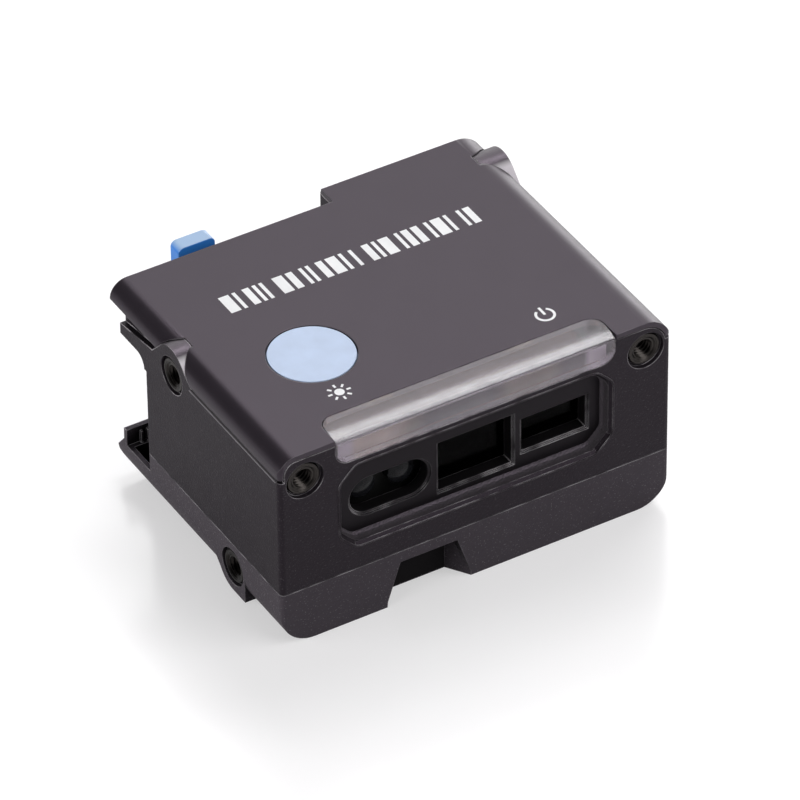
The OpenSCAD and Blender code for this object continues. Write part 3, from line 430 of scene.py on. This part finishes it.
INSERT_WALL, INSERT_EDGE = 2.0, 0.1
STEP_R, STEP_D = (1.62, 1.58), 0.05
SINK_R, SINK_D = 1.48, 0.22
THREAD_MAJOR_R, THREAD_CORE_R, THREAD_PITCH = 1.25, 1.03, 0.45
THREAD_CLEAR, THREAD_STOP, BORE_STOP = 0.03, 0.4, 0.3
ROWS_PER_TURN, INSERT_SIDES = 4, 48


def insert_profile():
    """Radius and depth of the rings, from the outer wall to the bore's end, with no radius on the thread."""
    rings = [(INSERT_R, INSERT_WALL), (INSERT_R, INSERT_EDGE), (INSERT_R - INSERT_EDGE, 0.0),
             (STEP_R[0], 0.0), (STEP_R[1], STEP_D), (SINK_R, STEP_D), (THREAD_MAJOR_R + THREAD_CLEAR, SINK_D)]
    step = THREAD_PITCH / ROWS_PER_TURN
    rows = math.ceil((INSERT_L - THREAD_STOP - SINK_D) / step)
    rings += [(None, SINK_D + k * step) for k in range(rows)]
    return rings + [(THREAD_CORE_R, INSERT_L - BORE_STOP), (0.0, INSERT_L - BORE_STOP)]


def thread_radius(depth, turn):
    phase = (depth / THREAD_PITCH - turn) % 1.0
    return THREAD_CORE_R + (THREAD_MAJOR_R - THREAD_CORE_R) * abs(2 * phase - 1)


def insert_points(mouth, inward):
    inward = Vector(inward)
    side = Vector((0, 0, 1))
    across = inward.cross(side)
    points = []
    for radius, depth in insert_profile():
        for k in range(INSERT_SIDES):
            turn = k / INSERT_SIDES
            r = thread_radius(depth, turn) if radius is None else radius
            spoke = side * math.cos(math.tau * turn) + across * math.sin(math.tau * turn)
            points.append(mouth + inward * depth + spoke * r)
    return points


def insert_spots(node):
    """Mouth and inward direction of both inserts of a node."""
    low, high = box_mm(node)
    mid_z = (low.z + high.z) / 2
    if node == "front_inserts":
        return [(Vector((x, low.y, mid_z)), (0, 1, 0)) for x in (low.x + INSERT_R, high.x - INSERT_R)]
    return [(Vector((low.x, low.y + INSERT_R, mid_z)), (1, 0, 0)),
            (Vector((high.x, high.y - INSERT_R, mid_z)), (-1, 0, 0))]


def add_inserts(node):
    points, faces = [], []
    for mouth, inward in insert_spots(node):
        faces += ring_faces(len(insert_profile()), INSERT_SIDES, first=len(points))
        points += insert_points(mouth, inward)
    piece = add_mesh(node + "_threaded", points, faces, materials["insert_brass"])
    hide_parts(node)
    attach(piece, "reader")


for node in ("front_inserts", "upper_side_inserts", "lower_side_inserts"):
    add_inserts(node)


# Light pipe: its top falls away in a soft crown to a fold, and the front facet lies below that

PIPE_T = 1.5
PIPE_R = 1.6
PIPE_SLOPES = (0.087, 0.277)
PIPE_CROWN_STEPS, PIPE_ARC_STEPS = 16, 10
PIPE_SHARP = 25
# Depth behind the front face and fall below the crown's end, along the fold
FOLD = ((0.12, 0.0), (0.18, 0.07), (0.04, 0.13), (0.0, 0.5))


def pipe_skin():
    """Rows of the outer skin from the rear edge to the lower edge: depth, height and setback of the ends."""
    angles = [math.radians(90 * k / PIPE_ARC_STEPS) for k in range(PIPE_ARC_STEPS + 1)]
    arc = [(PIPE_R * (1 - math.cos(a)), PIPE_R * (1 - math.sin(a))) for a in angles]
    depth, top = pipe_high.y - pipe_low.y, pipe_high.z
    rows = [(depth - along, top, back) for along, back in arc]
    start, (first, last) = depth - PIPE_R, PIPE_SLOPES
    run = start - FOLD[0][0]
    for k in range(1, PIPE_CROWN_STEPS + 1):
        t = k / PIPE_CROWN_STEPS
        fold_z = top - run * t * (first + (last - first) * t / 2)
        rows.append((start - run * t, fold_z, 0.0))
    rows += [(y, fold_z - fall, 0.0) for y, fall in FOLD[1:]]
    return rows + [(0.0, pipe_low.z + along, back) for along, back in reversed(arc)]


def add_light_pipe():
    rows = pipe_skin()
    inner = [(max(depth, PIPE_T), min(z, pipe_high.z - PIPE_T), back) for depth, z, back in rows]
    outline = rows + inner[::-1]
    left = [(pipe_low.x + back, pipe_low.y + depth, z) for depth, z, back in outline]
    right = [(pipe_high.x - back, pipe_low.y + depth, z) for depth, z, back in outline]
    piece = add_prism("light_pipe_moulding", (left, right), strip_caps(len(rows)),
                      materials["light_pipe_clear"], sharp=PIPE_SHARP)
    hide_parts("light_pipe")
    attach(piece, "reader")


add_light_pipe()


# Raised rim round the window, and the seal in the corner between its wall and the mask

MASK_FLANGE = 0.8
WINDOW_CUT = 1.8
CORNER_REACH, CORNER_STEPS = 0.7, 6
RIM_MARGIN = 0.45
BEAD_SHARP = 50
# Points of the sections, set outward from the line and back from the face
RIM = ((-0.13, 0.02), (-0.11, -0.05), (-0.06, -0.09), (0.0, -0.10), (0.06, -0.09), (0.11, -0.05),
       (0.13, 0.02))
SEAL = ((0.02, 0.03), (0.02, -1.22), (-0.02, -1.22), (-0.04, -0.34), (-0.10, -0.28), (-0.20, -0.16),
        (-0.30, 0.03))


def window_line(margin):
    """Points round the window, a margin outside its edge, with its eight corners eased."""
    out = MASK_FLANGE - margin
    x, low, high = mask_high.x - out, mask_low.z + out, mask_high.z - out
    cut = WINDOW_CUT + (2 - math.sqrt(2)) * margin
    corners = [Vector(c) for c in ((cut - x, low), (x - cut, low), (x, low + cut), (x, high - cut),
                                   (x - cut, high), (cut - x, high), (-x, high - cut), (-x, low + cut))]
    line = []
    for i, corner in enumerate(corners):
        before = corner + (corners[i - 1] - corner).normalized() * CORNER_REACH
        after = corner + (corners[(i + 1) % len(corners)] - corner).normalized() * CORNER_REACH
        for k in range(CORNER_STEPS + 1):
            t = k / CORNER_STEPS
            line.append(before * (1 - t) ** 2 + corner * 2 * t * (1 - t) + after * t ** 2)
    return line


def add_bead(name, line, y, section, material):
    """A closed ring along a line, with the given section."""
    points = []
    for i, spot in enumerate(line):
        along = (line[(i + 1) % len(line)] - line[i - 1]).normalized()
        for out, back in section:
            place = spot + Vector((along.y, -along.x)) * out
            points.append((place.x, y + back, place.y))
    piece = add_mesh(name, points, ring_faces(len(line), len(section), closed=True), material)
    clean(piece, BEAD_SHARP)
    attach(piece, "reader")


add_bead("window_rim", window_line(RIM_MARGIN), FRONT_Y, RIM, materials["housing_plastic"])
add_bead("window_seal", window_line(0.0), mask_low.y, SEAL, materials["seal_resin"])


# Narrow ledge along the top of the left wall, below the lid's skirt, in a pale colour that paints the
# highlight of the wall's top edge

LEDGE_DROP = 0.26
LEDGE_Y = (-18.9, -0.9)
# Points of the section, from the wall's face and from the ledge's top
LEDGE = ((0.2, 0.0), (-0.06, 0.0), (-0.12, -0.05), (-0.12, -0.12), (0.0, -0.22), (0.2, -0.22))


def add_ledge():
    top = lid_low.z - LEDGE_DROP
    ends = [[(body_low.x + x, y, top + z) for x, z in LEDGE] for y in LEDGE_Y]
    piece = add_prism("wall_ledge", ends, [range(len(LEDGE))], materials["painted_edge_highlight"])
    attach(piece, "reader")


add_ledge()


# Smooth skin over the humps that carry the upper side inserts: glossier than the housing, paler as a painted
# highlight, palest on the front flank

BOSS_R = 3.15
HUMP_DROP = 0.2
HUMP_FOOT = lid_low.z - HUMP_DROP
CROWN_STEPS = 16
SKIN_UNDER, SKIN_OVER = -0.03, 0.012
# Distance of the skins' outer and inner ends from the body's sides
HUMP_OUTER, LEFT_HUMP_INNER, RIGHT_HUMP_INNER = 0.01, 2.05, 3.35


def hump_line(y, out):
    """Rear foot, flank and crown, front flank and foot of a hump, seen along x."""
    middle, r = LID_TOP - BOSS_R, BOSS_R + out
    reach = r * math.sqrt(2) - (HUMP_FOOT - middle)
    crown = [math.radians(45 + 90 * k / CROWN_STEPS) for k in range(CROWN_STEPS + 1)]
    line = [(y + r * math.cos(a), middle + r * math.sin(a)) for a in crown]
    return [(y + reach, HUMP_FOOT)] + line + [(y - reach, HUMP_FOOT)]


def add_hump_skin(name, sides, y):
    under = hump_line(y, SKIN_UNDER)
    outline = under + hump_line(y, SKIN_OVER)[::-1]
    ends = [[(x, *spot) for spot in outline] for x in sides]
    piece = add_prism(name, ends, strip_caps(len(under)), materials["boss_gloss_highlight"])
    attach(piece, "reader")


add_hump_skin("left_hump_skin", (body_low.x + HUMP_OUTER, body_low.x + LEFT_HUMP_INNER),
              side_insert_low.y + INSERT_R)
add_hump_skin("right_hump_skin", (body_high.x - RIGHT_HUMP_INNER, body_high.x - HUMP_OUTER),
              side_insert_high.y - INSERT_R)


# Sheet between the status lamps and the light pipe, coloured along its width: pale and olive for the lamps,
# white ends as painted highlight, a dark middle as painted shade

FILM_GAP, FILM_T = 0.02, 0.06
FILM_RISE, FILM_DROP = 0.06, 0.1


def add_pipe_light_sheet():
    front = pipe_low.y + PIPE_T + FILM_GAP
    low, top = pipe_low.z + FILM_RISE, pipe_high.z - PIPE_T - FILM_DROP
    corners = ((-FILM_X, low), (FILM_X, low), (FILM_X, top), (-FILM_X, top))
    ends = [[(x, y, z) for x, z in corners] for y in (front, front + FILM_T)]
    piece = add_prism("pipe_light_sheet", ends, [range(len(corners))], materials["lamp_and_painted_light"])
    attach(piece, "reader")


add_pipe_light_sheet()


# Painted shade: a dark sheet on the rear wall and the roof of the notch under the front edge, where shade
# falls

NOTCH_X, NOTCH_H, NOTCH_D = -6.0, 5.5, 2.6
NOTCH_HALF_FRONT, NOTCH_HALF_BACK = 3.48, 3.38
SHADE_SHEET_FRONT, SHADE_SHEET_FOOT, SHADE_SHEET_HALF_T = 0.3, 0.15, 0.03


def add_notch_shade_sheet():
    front, back = FRONT_Y + SHADE_SHEET_FRONT, FRONT_Y + NOTCH_D
    above, below = NOTCH_H + SHADE_SHEET_HALF_T, NOTCH_H - SHADE_SHEET_HALF_T
    behind, before = back + SHADE_SHEET_HALF_T, back - SHADE_SHEET_HALF_T
    outline = ((NOTCH_HALF_FRONT, front, above), (NOTCH_HALF_FRONT, front, below),
               (NOTCH_HALF_BACK, before, below), (NOTCH_HALF_BACK, before, SHADE_SHEET_FOOT),
               (NOTCH_HALF_BACK, behind, SHADE_SHEET_FOOT), (NOTCH_HALF_BACK, behind, above))
    ends = [[(NOTCH_X + side * half, y, z) for half, y, z in outline] for side in (-1, 1)]
    roof, wall = (0, 1, 2, 5), (2, 3, 4, 5)
    piece = add_prism("notch_shade_sheet", ends, (roof, wall), materials["painted_notch_shade"])
    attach(piece, "reader")


add_notch_shade_sheet()


# Latch spring: a copy of the spring's mesh, with its place baked in, in place of the CAD node


def add_spring():
    piece = bpy.data.objects.new("latch_spring_wire", nodes["latch_spring"].data.copy())
    scene.collection.objects.link(piece)
    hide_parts("latch_spring")
    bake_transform(piece)


add_spring()


# White print on the lid: generic marks only

PRINT_T = 0.012
PRINT_STEPS = 40


def around(x, y, r, angle):
    return (x + r * math.cos(angle), y + r * math.sin(angle))


class Print:
    """Flat white shapes on the lid, in millimetres of the part's plan."""

    def __init__(self):
        self.points, self.faces = [], []

    def shape(self, outline):
        first, count = len(self.points), len(outline)
        for z in (LID_TOP - PRINT_T, LID_TOP + PRINT_T):
            self.points += [(x, y, z) for x, y in outline]
        self.faces.append(tuple(range(first + count, first + 2 * count)))
        self.faces += ring_faces(2, count, first)

    def bar(self, x, y, w, h):
        self.shape([(x, y), (x + w, y), (x + w, y + h), (x, y + h)])

    def arc(self, x, y, r, width, start, end):
        angles = [math.radians(start + (end - start) * i / PRINT_STEPS) for i in range(PRINT_STEPS + 1)]
        for a, b in zip(angles, angles[1:]):
            self.shape([around(x, y, r, a), around(x, y, r + width, a),
                        around(x, y, r + width, b), around(x, y, r, b)])

    def disc(self, x, y, r):
        self.shape([around(x, y, r, math.tau * i / PRINT_STEPS) for i in range(PRINT_STEPS)])

    def ray(self, x, y, near, far, half, angle):
        along = Vector((math.cos(angle), math.sin(angle)))
        side = Vector((-along.y, along.x)) * half
        foot, tip = Vector((x, y)) + along * near, Vector((x, y)) + along * far
        self.shape([foot - side, tip - side, tip + side, foot + side])

    def finish(self, name):
        piece = add_mesh(name, self.points, self.faces, materials["print_white"])
        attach(piece, "reader")


# Row of stripes, as a code symbol has, where the photo has a word
STRIPES_X, STRIPES_Y, STRIPES_W, STRIPES_H = -15.5, 4.9, 31.0, 3.0
WIDTHS = (3, 1, 2, 1, 1, 3, 2, 1, 1, 2, 3, 1, 1, 2, 1, 3, 1, 2, 2, 1, 3, 1, 1, 2)
GAPS = (1, 2, 1, 1, 3, 1, 2, 1, 2, 1, 1, 2, 3, 1, 1, 2, 1, 1, 2, 1, 1, 3, 1, 0)


def add_stripes():
    stripes = Print()
    unit = STRIPES_W / (sum(WIDTHS) + sum(GAPS))
    x = STRIPES_X
    for width, gap in zip(WIDTHS, GAPS):
        stripes.bar(x, STRIPES_Y, width * unit, STRIPES_H)
        x += (width + gap) * unit
    stripes.finish("stripe_print")


# Lamp sign on the left and power sign on the right, behind the light pipe
SIGN_X, SIGN_Y = 12.6, -12.6
LAMP_R, RAYS, RAY_NEAR, RAY_FAR, RAY_HALF = 0.55, 8, 0.85, 1.35, 0.13
POWER_R, POWER_LINE, POWER_BAR, POWER_ARC = 0.85, 0.3, 1.35, (-235, 55)


def add_signs():
    signs = Print()
    signs.disc(-SIGN_X, SIGN_Y, LAMP_R)
    for k in range(RAYS):
        signs.ray(-SIGN_X, SIGN_Y, RAY_NEAR, RAY_FAR, RAY_HALF, math.tau * k / RAYS)
    signs.arc(SIGN_X, SIGN_Y, POWER_R, POWER_LINE, *POWER_ARC)
    signs.bar(SIGN_X - POWER_LINE / 2, SIGN_Y, POWER_LINE, POWER_BAR)
    signs.finish("sign_print")


add_stripes()
add_signs()


# Floor: pale to the camera, and to metal and glass

FLOOR_HALF = 3000.0
FLOOR_COLOUR, FLOOR_ROUGH, FLOOR_IOR, FLOOR_SPECULAR = (0.60, 0.59, 0.60), 0.2, 1.7, 0.8
FLOOR_LIFT, FLOOR_GLOSSY_SHARE = 0.45, 0.35


def floor_material():
    material = bpy.data.materials.new("floor_white")
    material.use_nodes = True
    shading = Shading(material.node_tree)
    inputs = shading.nodes["Principled BSDF"].inputs
    path = shading.nodes.new("ShaderNodeLightPath").outputs
    seen = shading.calc("MULTIPLY_ADD", path["Is Glossy Ray"], FLOOR_GLOSSY_SHARE, path["Is Camera Ray"])
    seen = shading.calc("ADD", seen, path["Is Transmission Ray"], clamp=True)
    shading.feed(inputs["Base Color"], FLOOR_COLOUR)
    shading.feed(inputs["Roughness"], FLOOR_ROUGH)
    shading.feed(inputs["IOR"], FLOOR_IOR)
    shading.feed(inputs["Specular IOR Level"], FLOOR_SPECULAR)
    shading.feed(inputs["Emission Color"], (1, 1, 1))
    shading.feed(inputs["Emission Strength"], shading.calc("MULTIPLY", seen, FLOOR_LIFT))
    return material


def add_floor():
    half = FLOOR_HALF
    corners = [(-half, -half, 0), (half, -half, 0), (half, half, 0), (-half, half, 0)]
    floor = add_mesh("floor", corners, [(0, 1, 2, 3)], floor_material())


# World: bright low down on the right, and dark high up and on the left

WORLD_HEIGHT = (0.05, 0.35)
WORLD_LOW_X, WORLD_LOW_LIGHT = (-0.7, 0.4), (0.10, 1.0)
WORLD_HIGH_X, WORLD_HIGH_LIGHT = (-0.8, 0.4), (0.06, 0.24)


def add_world():
    scene.world = bpy.data.worlds.new("studio")
    scene.world.use_nodes = True
    shading = Shading(scene.world.node_tree)
    place = shading.coords("Generated")
    x, z = shading.part("X", place), shading.part("Z", place)
    low_down = shading.level(x, *WORLD_LOW_X, *WORLD_LOW_LIGHT)
    high_up = shading.level(x, *WORLD_HIGH_X, *WORLD_HIGH_LIGHT)
    light = shading.level(z, *WORLD_HEIGHT, low_down, high_up)
    shading.feed(shading.nodes["Background"].inputs["Color"], light)


# Lamps: name, direction, distance and size in metres, radiance, and whether surfaces mirror it

LAMPS = (
    ("key", (0.40, 0.68, 0.62), 0.6, (0.5, 0.5), 1.12, True),
    ("top", (0.36, 0.34, 0.86), 0.7, (0.4, 0.10), 11.0, True),
    ("front", (0.40, -0.60, 0.70), 0.6, (0.5, 0.30), 3.0, True),
    ("rim", (0.72, 0.68, 0.15), 0.8, (0.5, 0.25), 3.0, True),
    ("fill", (-0.8, -0.1, 0.6), 0.7, (0.5, 0.5), 0.5, False),
    ("left", (-0.95, 0.05, 0.24), 0.6, (0.6, 0.28), 5.4, False),
)


def add_softbox(name, towards, distance, size, radiance, mirrored):
    towards = Vector(towards).normalized()
    data = bpy.data.lights.new(name, "AREA")
    data.shape = "RECTANGLE"
    data.size, data.size_y = size
    data.energy = radiance * math.pi * size[0] * size[1]
    lamp = bpy.data.objects.new(name, data)
    lamp.location = towards * distance
    lamp.rotation_euler = towards.to_track_quat("Z", "Y").to_euler()
    lamp.visible_glossy = mirrored
    scene.collection.objects.link(lamp)


# Camera: angles in degrees and lengths in millimetres, as solved from the photo's straight edges

CAMERA_AZIMUTH, CAMERA_ELEVATION, CAMERA_ROLL = -30.43, 38.39, -0.68
CAMERA_AIM, CAMERA_DISTANCE = Vector((0, -0.3, 12.0)), 803.5
CAMERA_RIGHT, CAMERA_UP = 1.68, -1.25
CAMERA_LENS, CAMERA_SENSOR = 337.6, 36


def add_camera():
    az, el, roll = (math.radians(a) for a in (CAMERA_AZIMUTH, CAMERA_ELEVATION, CAMERA_ROLL))
    level = Vector((math.cos(az), math.sin(az), 0))
    back = Vector((math.sin(az) * math.cos(el), -math.cos(az) * math.cos(el), math.sin(el)))
    upright = back.cross(level)
    right = level * math.cos(roll) + upright * math.sin(roll)
    up = upright * math.cos(roll) - level * math.sin(roll)
    place = CAMERA_AIM + back * CAMERA_DISTANCE + right * CAMERA_RIGHT + up * CAMERA_UP
    data = bpy.data.cameras.new("camera")
    data.lens = CAMERA_LENS
    data.sensor_width = CAMERA_SENSOR
    camera = bpy.data.objects.new("camera", data)
    turn = Matrix((right, up, back)).transposed().to_4x4()
    camera.matrix_world = Matrix.Translation(place * MM) @ turn
    scene.collection.objects.link(camera)
    scene.camera = camera


add_floor()
add_world()
for lamp in LAMPS:
    add_softbox(*lamp)
add_camera()
scene.view_settings.view_transform = "Standard"
